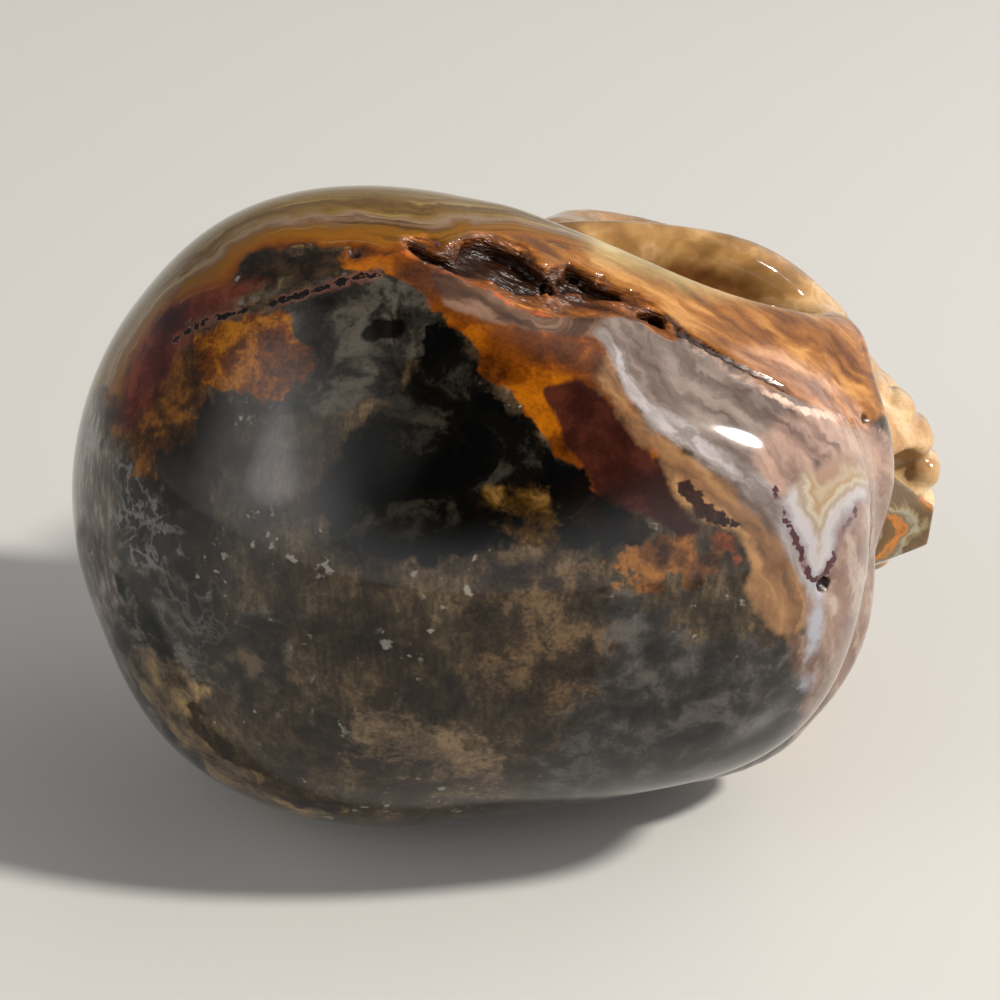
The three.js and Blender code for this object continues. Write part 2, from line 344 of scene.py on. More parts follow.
def net_surface(f, xs, ys, zs):
    """Surface net of a field sampled at the crossings of xs, ys and zs. Each cell that the surface crosses
    gets one point, the mean of where it cuts the cell's edges, and each cut edge of the grid joins four."""
    inside = f < 0
    shape = np.array(f.shape) - 1
    count = np.zeros(shape, np.int8)
    for i, j, k in np.ndindex(2, 2, 2):
        count += inside[i:shape[0] + i, j:shape[1] + j, k:shape[2] + k]
    cells = np.nonzero((count > 0) & (count < 8))
    points, cuts = np.zeros((len(cells[0]), 3)), np.zeros(len(cells[0]))
    grid = (xs, ys, zs)
    for axis in range(3):
        others = [a for a in range(3) if a != axis]
        for i, j in np.ndindex(2, 2):
            low = list(cells)
            low[others[0]], low[others[1]] = cells[others[0]] + i, cells[others[1]] + j
            high = list(low)
            high[axis] = low[axis] + 1
            a, b = f[tuple(low)], f[tuple(high)]
            crossed = (a < 0) != (b < 0)
            t = np.where(crossed, a / np.where(crossed, a - b, 1), 0)
            here = np.stack([grid[n][low[n]] for n in range(3)], 1)
            here[:, axis] += t * (grid[axis][high[axis]] - grid[axis][low[axis]])
            points += here * crossed[:, None]
            cuts += crossed
    points /= cuts[:, None]
    number = np.full(shape, -1, np.int64)
    number[cells] = np.arange(len(cells[0]))
    quads = []
    for axis in range(3):
        b, c = (axis + 1) % 3, (axis + 2) % 3
        low = np.take(inside, range(0, f.shape[axis] - 1), axis)
        high = np.take(inside, range(1, f.shape[axis]), axis)
        edge = np.stack(np.nonzero(low != high))
        outward = low[tuple(edge)]
        ring = []
        for db, dc in ((-1, -1), (0, -1), (0, 0), (-1, 0)):
            cell = edge.copy()
            cell[b] += db
            cell[c] += dc
            ring.append(number[tuple(cell)])
        quad = np.stack(ring, 1)
        quad[~outward] = quad[~outward][:, ::-1]
        quads.append(quad)
    return points, np.concatenate(quads)


def settle(field, v, times):
    """Newton's steps that draw points onto the surface: along the gradient, by the field over its slope."""
    h, least_slope, longest = 0.04, 0.2, 0.4
    for _ in range(times):
        here = field(*v.T)
        slope = np.stack([(field(*(v + h * np.eye(3)[a]).T) - here) / h for a in range(3)], 1)
        reach = here / np.maximum((slope ** 2).sum(1), least_slope)
        v = v - np.clip(reach, -longest, longest)[:, None] * slope
    return v


def skull_surface(step, ragged, times):
    """Points and quads of the skull: the field on a half grid, mirrored, cut on the left, netted, settled."""
    xs, half, zs = (np.arange(start, end, step, dtype=np.float32) for start, end in GRID)
    right = carved_mass(*np.meshgrid(xs, half, zs, indexing="ij")).astype(np.float32)
    both = np.concatenate([right[:, :0:-1], right], 1)
    ys = np.concatenate([-half[:0:-1], half])
    f = finished(*np.meshgrid(xs, ys, zs, indexing="ij"), ragged, both)
    points, quads = net_surface(f, xs.astype(float), ys.astype(float), zs.astype(float))
    return settle(lambda x, y, z: finished(x, y, z, ragged), points, times), quads


# Axes


def rest_axes():
    """Rows ahead, away and up of the skull at rest: its face to +X and its left side up."""
    up = np.array(REST_UP) / np.linalg.norm(REST_UP)
    ahead = np.array((1.0, 0, 0)) - up[0] * up
    ahead /= np.linalg.norm(ahead)
    return np.stack([ahead, np.cross(up, ahead), up])


def view_axes():
    """Rows right, up and back of the photograph's view, in the skull's axes."""
    roll, pitch, turn = (math.radians(a) for a in (VIEW_ROLL, VIEW_PITCH, VIEW_TURN))
    back = np.array((math.sin(pitch), math.sin(roll) * math.cos(pitch), math.cos(roll) * math.cos(pitch)))
    right = np.cross((0, 1.0, 0), back)
    right /= np.linalg.norm(right)
    up = np.cross(back, right)
    c, s = math.cos(turn), math.sin(turn)
    return np.stack([c * right + s * up, c * up - s * right, back])


def on_plane(x, y, z):
    """Place on the plane that the layers of the stone are drawn on: right and up, as in the photograph."""
    return tuple((a[0] * x + a[1] * y + a[2] * z).astype(np.float32) for a in view_axes()[:2])


# Where each colour of the stone lies
# The layers of the stone are drawn as outlines in mm on a plane across the crown, and run through the stone.

OUTLINES = {
    "slate": (
        (11, -9.5), (16.5, -9.5), (23.5, -14), (30.5, -15.5), (37, -16.5), (41.5, -24.5), (38, -29.5),
        (25, -38), (8.5, -40), (6, -30), (10, -20.5), (12.5, -15)),
    "ink": (
        (-43, -5.5), (-37.5, -3), (-33.5, -5.5), (-32, -9.5), (-30.5, -14), (-29, -18), (-33.5, -18),
        (-41.5, -16), (-37.5, -21.5), (-31.5, -29.5), (-27, -38), (-36, -38), (-46, -26), (-49, -15)),
    "tan_low": (
        (-41, -16.5), (-37, -16), (-33.5, -18), (-32, -21), (-34, -22), (-33, -26), (-30, -28.5),
        (-26, -31), (-24, -33.5), (-16.5, -35), (-22, -38), (-26.5, -36), (-30, -33), (-33, -29),
        (-36.5, -25.5), (-39, -21.5)),
    "tan_patch": (
        (-16, -24.5), (-14, -22), (-10.5, -21.5), (-7, -23.5), (-2, -26), (2, -29), (2, -31.5),
        (-7.5, -28.5), (-15.5, -26.5)),
    # Pale blue-grey along the crown's left edge: a painted sheen, the reflection at the grazing edge
    "rim_left": (
        (-54, 3.5), (-53, 11), (-50, 15), (-43.5, 12.5), (-42.5, 7), (-41.5, -1), (-42, -10),
        (-43, -15), (-50, -15), (-53, -8)),
    "gold_left": (
        (-44, 14.5), (-38, 15.5), (-33, 18), (-31, 16), (-31.5, 12.5), (-32.5, 8), (-35, 8),
        (-38.5, 3.5), (-40.5, 7), (-42, 9)),
    "glass": (
        (-18.5, 24.5), (-11, 26.5), (-4, 21), (0.5, 14), (6, 8), (8, 4.5), (11.5, 1.5), (17, -1),
        (17.5, -3), (12, -4.5), (5.5, -3.5), (-6, -5.5), (-15.5, -5), (-18, -2), (-18.5, 2.5),
        (-14.5, 9), (-8.5, 14), (-9, 17.5)),
    "cloud": (
        (-22, 23.5), (-20, 24.5), (-17.5, 25.5), (-14.5, 25.5), (-11.5, 26), (-9.5, 25.5),
        (-7.5, 24.5), (-5.5, 22.5), (-3.5, 21), (-5, 20.5), (-6, 19.5), (-7, 17.5), (-9, 15),
        (-10, 12.5), (-12.5, 12), (-16, 11), (-20.5, 11), (-23.5, 10), (-25.5, 11.5), (-22, 13),
        (-19, 14.5), (-20, 17), (-21, 18.5), (-22, 21)),
    "hole": ((-13.5, 19.5), (-11.5, 21), (-9, 20.5), (-9.5, 19), (-11, 18.5), (-13, 18.5)),
    "rust": (
        (-33, 19), (-31, 20), (-28, 21), (-25, 21.5), (-22, 22), (-21.5, 19.5), (-20, 18), (-18.5, 16),
        (-20, 14), (-22.5, 12), (-24.5, 12), (-26.5, 13), (-27.5, 13), (-29, 13.5), (-30, 13.5),
        (-31.5, 15), (-32, 17)),
    "crimson": (
        (-41.5, 11), (-41, 15.5), (-39, 19.5), (-36.5, 22.5), (-33, 24.3), (-29, 25), (-25, 25),
        (-27, 23.5), (-31, 22), (-33.5, 19.5), (-35, 16.5), (-37.5, 12.5), (-39.5, 9.5)),
    "grey_top": (
        (-28.5, 24), (-27.5, 27), (-26.5, 28.5), (-24, 28.5), (-21.5, 28), (-18.5, 28.5),
        (-16.5, 28.5), (-16, 26.5), (-18.5, 26), (-20.5, 25.5), (-22, 25.5), (-25, 25), (-27, 24)),
    "orange": (
        (-16, 28.5), (-14, 29), (-12, 28.7), (-9.5, 28.5), (-7, 28), (-5.5, 26.5), (-4, 24.5),
        (-2, 23), (2, 22), (6.5, 20.6), (9.5, 20.6), (12.5, 20.8), (14.5, 19), (14.5, 15.5), (15, 13),
        (17.5, 10.5), (19.5, 7), (16.5, 3.5), (13.5, 1), (11, 2), (9.5, 4), (8.5, 5.5), (7, 7),
        (6, 8.5), (4.5, 10.5), (3.5, 12.5), (1.5, 13.5), (-0.5, 15.5), (-0.5, 17.5), (-2.5, 19.5),
        (-4.5, 21.5), (-7.5, 23.5), (-10, 25.5), (-12, 26.5), (-16, 27)),
    "burgundy": (
        (6, 13.5), (8, 14), (10.5, 14), (12.5, 13), (14, 11.5), (15.5, 9.5), (17, 7.5), (18.5, 6),
        (19.5, 4.5), (20.5, 2), (21.5, 0), (23, -1.5), (22.5, -2.5), (20.5, -2.5), (17, -0.5),
        (14.5, 0.5), (12.5, 1.5), (11.5, 3), (10, 5), (9, 6.5), (8.5, 8.5), (7.5, 10), (6.5, 12)),
    "ochre": (
        (14, 18), (14.5, 15.5), (15, 13), (17, 11), (18.5, 9.5), (20, 8), (22, 6.5), (24.5, 4.5),
        (27, 3.5), (29.5, 3), (31.5, 1), (33.5, -1.5), (35.5, -5), (36.5, -9), (35.5, -13),
        (32.5, -14), (30, -10.5), (28.5, -8.5), (29, -6), (28, -3.5), (27.5, -2), (25.5, -1.5),
        (23, 0), (21, 2), (19.5, 4.5), (18.5, 6), (17, 7.5), (15.5, 9.5), (14, 11.5), (12.5, 13),
        (11.5, 14.5), (12.5, 16.5)),
    "plum": (
        (21, 3), (22, 3.5), (24, 1.5), (26, -0.5), (27.5, -1), (28, -2), (26, -2), (24, -1), (22.5, 0),
        (21.5, 1.5)),
    "rust_low": (
        (24.5, -2.5), (25.5, -2), (27, -3), (28.5, -5), (28, -6.5), (27, -6), (26.5, -4.5), (25, -4)),
    "ochre_low": (
        (14, -4), (16.5, -3), (18.5, -3), (20.5, -2.5), (23, -3.5), (25, -4), (26, -5.5), (24.5, -7),
        (23, -8), (20.5, -8), (19, -8.5), (17, -7.5), (15, -7), (14, -5.5)),
    "lilac": (
        (12.5, 20.5), (14, 22.5), (17, 23.5), (20.5, 22), (24, 20), (30.5, 16), (35, 13.5), (39, 11.5),
        (40.5, 7), (38.5, 3.5), (35.5, 1), (34.5, -3), (30.5, -1.5), (27, 2.5), (22, 6.5), (17.5, 9.5),
        (15.5, 13.5), (13.5, 18.5)),
    "mauve": (
        (30.5, 9), (35, 11), (41.5, 10.5), (47, 8.5), (49, 3), (42.5, 2.5), (40, 5), (36.5, 5),
        (34.5, 1.5), (32.5, 1.5), (29.5, 5.5)),
    "pink": (
        (36, -8.5), (37.5, -6), (39.5, -2), (42, 2), (50, 3), (50, -15), (46, -24), (41, -29),
        (37.5, -28.5), (37, -21.5), (36.5, -15.5), (35.5, -12)),
    "salmon": ((34, -14.5), (37, -14), (39, -17), (40.5, -23), (38, -26.5), (36.5, -27), (36, -20)),
    "ridge": (
        (-2, 31), (3.5, 31), (8, 30), (15, 29), (22, 27), (32.5, 25.5), (42, 24.5), (46, 19.5),
        (48, 13), (46, 11), (43, 10.5), (39, 11.8), (35, 12.6), (30.3, 14.8), (26.4, 17.2),
        (22.9, 19.7), (20.3, 21.6), (16, 22.6), (12.5, 24.5), (8, 26.5), (3, 28.5)),
    "blush": (
        (27.5, 18), (32, 18.5), (37, 16), (42, 13), (44, 10), (40.5, 10), (36.5, 12.5), (32, 14),
        (29, 16)),
    "strata": (
        (-56, 3), (-52, 15.5), (-48, 24), (-42, 32), (-35.5, 38), (-29.5, 42), (-22, 45), (-14, 46),
        (-4.5, 46), (5, 43), (11, 41), (18, 36), (25, 28), (17.5, 28.5), (10.5, 29.5), (3.5, 30.5),
        (-2, 29.5), (-6.5, 27.5), (-15.5, 29), (-25, 29), (-27.5, 27), (-28.5, 25), (-33.5, 23.5),
        (-36.5, 21.5), (-39.5, 17), (-41, 12.5), (-44, 14.5), (-46, 13)),
    "lavender": (
        (-5.5, 27.2), (-3.5, 26.3), (-1, 25.6), (2.5, 24), (6.5, 22.8), (10, 22.4), (13, 22.2),
        (15, 21), (13.5, 19), (11.5, 19.5), (9.5, 19.2), (6.5, 19.6), (2, 20.5), (-2, 21.5),
        (-4.5, 23), (-6, 24.8)),
    "gold_mid": (
        (0, 2), (2, 2.5), (4.5, 2), (6, 1), (7, -1), (6.5, -3.5), (5, -4), (3.5, -2), (2, 0), (0.5, 1)),
    "tan_mid": (
        (-1, -5), (3.5, -4), (9, -4.5), (12.5, -8.5), (12.5, -14), (11.5, -19.5), (6.5, -21),
        (2, -19.5), (-1, -14)),
    "tongue": (
        (8, 5.5), (10.5, 4), (12.5, 1.5), (17, -0.5), (19, -1.5), (17, -3.5), (14, -3.5), (10.5, -2),
        (8.5, 0), (8, 2.5)),
    "veil_a": ((-44, 4.5), (-40, 5), (-35.5, 1.5), (-34, -4), (-36.5, -7), (-40, -5.5), (-43, -2)),
    "veil_b": ((-36, -8), (-31.5, -7), (-29, -11.5), (-28, -17), (-31, -17.5), (-34, -14.5)),
    "veil_c": ((-27.5, -11.5), (-24.5, -10.5), (-22, -14), (-22.5, -18), (-26, -16.5)),
    "ground_left": (
        (-40.5, 7), (-36.5, 9), (-31, 12.5), (-27.5, 12.5), (-27, 8), (-29, 3.5), (-31, -2), (-33, -8),
        (-35, -5.5), (-37.5, 1.5), (-40, 4)),
    "brown_low": ((-31.5, -15.5), (-28, -14), (-23, -15), (-22, -19), (-25, -21.5), (-29.5, -20)),
    "cream_rim": (
        (11.5, 33), (18, 31), (25, 28.5), (33.5, 26.5), (41, 25.5), (40.5, 23.5), (33.5, 24.5),
        (24, 25), (18.5, 27), (12.5, 29)),
    "white_band": (
        (12, 20), (13.5, 19.5), (15, 17.5), (16, 14.5), (18, 12), (19.5, 11), (21.5, 10), (24, 8),
        (27.5, 6), (29.5, 4.5), (32, 2), (34.5, -2), (37, -6), (37.5, -9.5), (36.5, -10.5), (35, -8),
        (32.5, -3), (31, -0.5), (29, 1.5), (26.5, 3.5), (24, 5.5), (21, 7.5), (18.5, 9), (16.5, 11.5),
        (14.5, 14.5), (13, 18)),
    "vee": (
        (32.5, 1), (34.5, 3.5), (37.5, 5.5), (40.5, 6.5), (43, 6), (43.5, 3), (42, 0.3), (40.5, -2),
        (38.8, -5.6), (37, -8.8), (35.8, -8), (34.5, -5), (33, -2)),
    "crack_band": (
        (-9.5, 30.5), (-8.5, 30.5), (-7, 30.5), (-5.5, 30), (-4.5, 29.5), (-3.5, 30), (-3, 30),
        (-2, 30.5), (-0.5, 31), (1.5, 30.5), (3, 30), (4.5, 29.5), (5.5, 28.5), (6, 27.5), (7, 27.5),
        (9, 27.5), (10.5, 27), (12, 26.5), (13, 26.5), (14, 25.5), (15.5, 25), (16.5, 24.5),
        (18.5, 23.5), (19.5, 22.5), (20.5, 21.5), (21, 20.5), (21, 19), (18.5, 20), (17, 21),
        (15, 21.5), (13, 21.5), (10, 21.5), (7.5, 21.5), (6, 22), (3.5, 22.5), (2, 23.5), (0.5, 24.5),
        (-2, 25), (-3, 26), (-4.5, 26.5), (-6.5, 27.5), (-8, 28), (-9, 29)),
}
LINES = {
    "rim": (
        (-51, 0), (-50, 5), (-48.5, 12), (-46, 19), (-42.5, 24.5), (-38, 29.5), (-33.5, 33.5),
        (-28, 36), (-22, 38), (-14, 39), (-5.5, 38.5), (1.5, 37), (7, 35.5), (13, 32.5), (18.5, 28),
        (26.5, 27), (33.5, 25.5), (40, 24.5)),
    "inner": (
        (-46, 5), (-41, 12.5), (-39.5, 17), (-36.5, 21.5), (-33.5, 23.5), (-28.5, 25), (-25, 29),
        (-15.5, 29), (-6.5, 27.5), (-2, 29.5), (3.5, 30.5), (10.5, 29.5), (17.5, 28.5)),
    "lace": (
        (12, 20), (13.5, 18), (15, 14.5), (17, 12), (19, 10), (21.5, 8.5), (24.5, 6.5), (27, 4.5),
        (29.5, 2.5), (32, -0.5), (34, -3.5), (36, -8), (37, -12), (37.3, -17), (36.8, -24)),
    "seam": (
        (-34.8, 19.2), (-31.4, 20.9), (-28.7, 21.6), (-26, 22.2), (-21.9, 23.3), (-18.5, 24.3),
        (-15.2, 25.3), (-11.9, 26)),
    "ember": ((-9, 28.5), (-7.5, 28), (-5.5, 27), (-3, 26), (0.5, 24.5), (3.5, 22.5), (7, 21.5)),
    "fold_edge": ((20, 21), (22.5, 19), (26, 16.5), (30, 14), (35, 11.5), (40, 10.5)),
    # Pale line down the brow below the pit: a painted reflection, not a band of the stone
    "brow_line": ((36.5, -7.5), (36.9, -11), (36.8, -15), (36.2, -20)),
    "vee_line": (
        (31.6, 2.5), (32.4, 0.8), (33.6, -1.8), (35, -4.8), (36.5, -7.9), (38.5, -5.8), (40.2, -1.9),
        (41.7, 0.3)),
}
# The three holes of the crack, on the same plane
HOLLOWS = (
    (
        (-9, 30), (-7.5, 29.5), (-6, 28.5), (-4.5, 28.5), (-3.5, 29), (-3, 30), (-1.5, 30.5),
        (0, 30.5), (1.5, 30), (3, 29.5), (4, 29), (5, 28), (6, 27), (7, 26), (7.5, 25.5), (7, 24.5),
        (5.5, 24.5), (3.5, 24.5), (2, 25), (0.5, 26), (-1.5, 26.5), (-3, 26.5), (-5, 27), (-6.5, 27.5),
        (-8, 28.5)),
    (
        (7.5, 26.5), (8.5, 27), (9, 27.5), (10.5, 27), (12, 26), (13, 25.5), (14.5, 25), (15, 24),
        (14, 24), (11.5, 24.5), (9.5, 25), (8, 25)),
    (
        (16.5, 22.5), (17.5, 22.5), (18.5, 22.5), (19.5, 22), (19.5, 21), (18.5, 21.5), (17, 22)),
)


def to_line(points, u, v, closed=False):
    """Distance from each point to a smooth line, or to a closed outline, where it is negative inside: the
    sign is from how often a ray to +u crosses the outline."""
    path = smooth_path(points, 3, closed).astype(np.float32)
    least, inside = np.full(len(u), 1e6, np.float32), np.zeros(len(u), bool)
    for (ax, ay), (bx, by) in zip(path if closed else path[:-1], np.roll(path, -1, 0)):
        dx, dy = bx - ax, by - ay
        t = np.clip(((u - ax) * dx + (v - ay) * dy) / max(dx * dx + dy * dy, 1e-6), 0, 1)
        least = np.minimum(least, np.hypot(u - ax - t * dx, v - ay - t * dy))
        if closed and dy:
            inside ^= ((ay > v) != (by > v)) & (u < ax + (v - ay) * dx / dy)
    return np.where(inside, -least, least)


# Looks
# Each layer of the stone, from the ground up: its outline, how far its edge is frayed and how softly it ends,
# in mm, its grain and its dark, middle and light tone
LAYERS = (
    ("slate", 2.4, 2.5, "mottle", "#161411", "#2c2927", "#4c4843"),
    ("ink", 1.8, 1.6, "mottle", "#151513", "#272621", "#59554e"),
    ("ground_left", 1.8, 1.4, "mottle", "#0e0a06", "#181410", "#241f18"),
    ("veil_a", 1.6, 2.0, "veins", "#1b1917", "#2d2c2a", "#5f5e5b"),
    ("veil_b", 2.0, 2.4, "veins", "#16140f", "#24221d", "#44433f"),
    ("veil_c", 1.6, 1.6, "mottle", "#16120e", "#2c2822", "#5d5b55"),
    ("brown_low", 2.0, 2.4, "mottle", "#12100d", "#2a251e", "#544737"),
    # painted sheen along the left edge
    ("rim_left", 1.6, 2.4, "streak", "#37302a", "#564d46", "#7d7871"),
    ("gold_left", 1.6, 1.2, "mottle", "#1b0d04", "#40260c", "#7a4c18"),
    ("tan_low", 1.4, 1.2, "clear", "#1d1a14", "#625341", "#94794e"),
    ("tan_patch", 2.6, 1.6, "fleck", "#1e1812", "#574837", "#7d674d"),
    ("tan_mid", 3.2, 3.0, "fleck", "#140a03", "#2f2418", "#5d4932"),
    ("glass", 1.4, 1.6, "smoke", "#030303", "#080705", "#292620"),
    ("gold_mid", 2.6, 3.0, "mottle", "#160903", "#3f2c0e", "#72522a"),
    ("cloud", 1.2, 0.7, "mottle", "#0a0806", "#221f1b", "#47423a"),
    ("hole", 0.5, 0.5, "mottle", "#040404", "#060605", "#12100c"),
    ("ochre_low", 2.4, 0.8, "mottle", "#231104", "#573517", "#855624"),
    ("strata", 0.4, 0.7, "strata"),
    ("orange", 0.9, 0.6, "clear", "#2e1303", "#5a2c04", "#8f4f07"),
    ("burgundy", 0.7, 0.8, "clear", "#1c0905", "#28100b", "#3e1c13"),
    ("ochre", 0.9, 1.4, "bands", "#573d28", "#77563a", "#997349"),
    ("tongue", 0.8, 0.8, "smoke", "#040404", "#0c0503", "#21170f"),
    ("plum", 1.0, 0.4, "fleck", "#180905", "#2c1810", "#4a3022"),
    ("rust_low", 0.8, 0.6, "clear", "#2c1107", "#522713", "#8d4d2a"),
    ("grey_top", 1.0, 0.8, "mottle", "#0a0604", "#181008", "#332416"),
    ("crimson", 1.0, 3.0, "clear", "#260c08", "#451710", "#6e2f1d"),
    ("rust", 0.9, 0.6, "fleck", "#2c1402", "#5c2e03", "#965c0c"),
    ("lavender", 0.5, 0.7, "ribbons", "#2c170d", "#49301f", "#735848"),
    ("lilac", 0.6, 1.2, "bands", "#3e2a20", "#62544d", "#83746c"),
    ("mauve", 0.8, 1.6, "bands", "#5c463e", "#8a7064", "#a58874"),
    ("white_band", 0.4, 0.9, "bands", "#5a4c46", "#7b736f", "#aea5a6"),
    ("pink", 0.6, 1.6, "bands", "#634a40", "#7b6356", "#9a8b80"),
    ("vee", 0.4, 1.4, "vee"),
    ("salmon", 1.0, 1.6, "bands", "#55301a", "#5f4a3e", "#806a5c"),
    ("ridge", 0.4, 0.8, "drawn", "#573010", "#85531f", "#b28046"),
    ("blush", 0.7, 2.0, "drawn", "#6c442a", "#a47553", "#cca688"),
    ("cream_rim", 0.5, 4.0, "drawn", "#8f7c50", "#a8915f", "#c4b184"),
)
TONE_PLACES = (0.12, 0.5, 0.88)
ROUGH_EDGED = ("mottle", "fleck", "smoke")
# Bands of the rim of the stone, from the outer edge in; the pale khaki at the very edge is the stone's own
# band, lightened in part by painted sheen
STRATA = (
    (0.0, "#8f8054"), (0.08, "#7a6636"), (0.18, "#66501f"), (0.32, "#745b28"), (0.42, "#553b15"),
    (0.52, "#6d5326"), (0.6, "#7b6550"), (0.66, "#664c36"), (0.71, "#6a460f"), (0.83, "#784a0b"),
    (0.94, "#663407"), (1.0, "#3a1a05"))
# Forehead, by the distance from the wine-red seam, as a share of 8 mm
VEE = (
    (0.0, "#6b5054"), (0.06, "#7c7678"), (0.16, "#9a979a"), (0.27, "#9d9896"), (0.34, "#877a66"),
    (0.42, "#9d9482"), (0.5, "#8a7150"), (0.58, "#95856e"), (0.68, "#836750"), (0.8, "#896d60"),
    (1.0, "#8f7366"))
# Dark ground of the crown, and the clear honey stone of the face and underside, from their darkest tone up
GROUND = (
    (0.0, "#0a0705"), (0.25, "#1d1710"), (0.45, "#2c2318"), (0.64, "#3e3324"), (0.82, "#574834"),
    (1.0, "#6f5e4a"))
HONEY = (
    (0.0, "#644725"), (0.3, "#7e5d35"), (0.5, "#906b40"), (0.7, "#a17d4d"), (0.85, "#b59468"),
    (1.0, "#9c784a"))
TEETH = ((0.0, "#8c6641"), (0.5, "#ae8b60"), (1.0, "#cfba94"))
NOSE = (
    (0.0, "#4a371c"), (0.3, "#5f431f"), (0.42, "#a3601c"), (0.52, "#8a5a28"), (0.62, "#5c5340"),
    (0.78, "#867d6a"), (0.9, "#6a5836"), (1.0, "#4a371c"))
# Broken stone of the crack, from its lips down to the bottom: rust-brown stone, darkened with depth as
# painted shade
CRACK_TONES = (
    (0.0, "#ac6c30"), (0.1, "#8a4f1a"), (0.24, "#6a3a12"), (0.42, "#4d280c"), (0.65, "#381904"),
    (0.95, "#220d02"))
# Seam, fold and pits, from their lips down to the bottom: the black of the seam is the stone's own, and the
# darkening with depth in the fold and pits is painted shade
MARK_TONES = ((0.1, "#5a3216"), (0.5, "#2a1408"), (1.0, "#120804"))
SPECK_TONE = "#7d766c"
# Dark and light lines over the bands of the rim, and those over the forehead's
STRATA_LINES = ((0.3, -0.1, "#3e2a0e"), (0.72, 1.2, "#94804e"))
VEE_LINES = (0.4, "#7b6459")
# Thin frayed lines over the layers: width in mm, strength and tone. The pale blue-grey line down the brow is
# a painted reflection
THIN_LINES = (
    ("ember", 0.6, 1.2, "#a04c1a"), ("fold_edge", 0.6, 1.4, "#d0ae9c"), ("brow_line", 1.3, 1.3, "#8e8f98"),
    ("vee_line", 0.4, 3.0, "#3c1c20"), ("seam", 0.9, 0.8, "#6b4438"), ("seam", 0.35, 4.0, "#0d0a0a"))
# Coordinates drawn out upright, along the brow, which runs down to the right, and along the crack: what they
# start from, turn in degrees and scale
DRAWN_OUT = (
    ("tall", "plain", 0.0, (1.0, 4.0, 1.67)), ("browward", "pushed", -30.0, (6.0, 1.0, 2.5)),
    ("torn", "plain", -20.0, (5.0, 1.0, 1.5)))
# Noises that go from 0 to 1 between two of their values: size in mm, detail, roughness, coordinates, values
GRAINS = {
    "streaks": (1.2, 3.0, 0.55, "browward", 0.3, 0.7),
    "broad_streaks": (3.6, 3.0, 0.5, "browward", 0.3, 0.7),
    "fine": (0.5, 2.0, 0.6, "plain", 0.34, 0.66),
    "mottle": (4.2, 4.0, 0.58, "bent", 0.28, 0.74),
    "soft_cloud": (5.5, 4.0, 0.5, "bent", 0.3, 0.7),
    "upright": (0.7, 2.0, 0.62, "tall", 0.34, 0.66),
    "smoke": (6.0, 4.0, 0.57, "swirled", 0.32, 0.8),
    "blotch": (8.5, 4.0, 0.57, "bent", 0.3, 0.72),
    "clump": (3.0, 4.0, 0.57, "bent", 0.3, 0.7),
    "swarm": (7.0, 2.0, 0.6, "plain", 0.5, 0.6),
    "speck": (1.6, 2.0, 0.5, "plain", 0.62, 0.7),
}
# Noises that push edges, bands and bumps about: the same, with what is taken off them
SHAKES = {
    "fray": (2.6, 3.0, 0.6, "plain", 0.5),
    "wave": (3.2, 3.0, 0.55, "plain", 0.5),
    "tremble": (1.0, 2.0, 0.6, "plain", 0.5),
    "wobble": (3.4, 3.0, 0.55, "bent", 0.5),
    "vein": (2.6, 3.0, 0.55, "bent", 0.5),
    "crumbs": (0.9, 3.0, 0.64, "torn", 0.46),
    "splinters": (0.7, 2.0, 0.65, "torn", 0.0),
}
# Honey stone: its rings' middle, the pitch of the broad and fine ones, and where it begins, in mm
RINGS_MIDDLE, RING_PITCHES, HONEY_START = (30.0, 0.0, -20.0), (9.0, 1.3), (-8.0, -11.5)
IOR, SPECULAR, BROKEN_ROUGHNESS, BUMP = 1.54, 0.27, 0.28, 0.7 * MM


def add(tree, kind, *values, out=0, bands=(), **settings):
    """Adds a node and gives one of its outputs. Its operation follows its kind after a colon. values go to
    its inputs in turn, or by name where there is one dictionary: each is a value or another node's output.
    bands are a ramp's (position, hex) colours, and settings the node's other properties."""
    kind, _, operation = kind.partition(":")
    made = tree.nodes.new("ShaderNode" + kind)
    if operation:
        made.operation = operation
    for name, value in settings.items():
        setattr(made, name, value)
    named = values[0] if values and isinstance(values[0], dict) else dict(enumerate(values))
    for socket, value in named.items():
        if isinstance(value, bpy.types.NodeSocket):
            tree.links.new(value, made.inputs[socket])
        else:
            made.inputs[socket].default_value = value
    for place, _ in bands[2:]:
        made.color_ramp.elements.new(place)
    for i, (place, colour) in enumerate(bands):
        element = made.color_ramp.elements[i]
        element.position, element.color = place, hex_rgb(colour)
    return None if out is None else made.outputs[out]


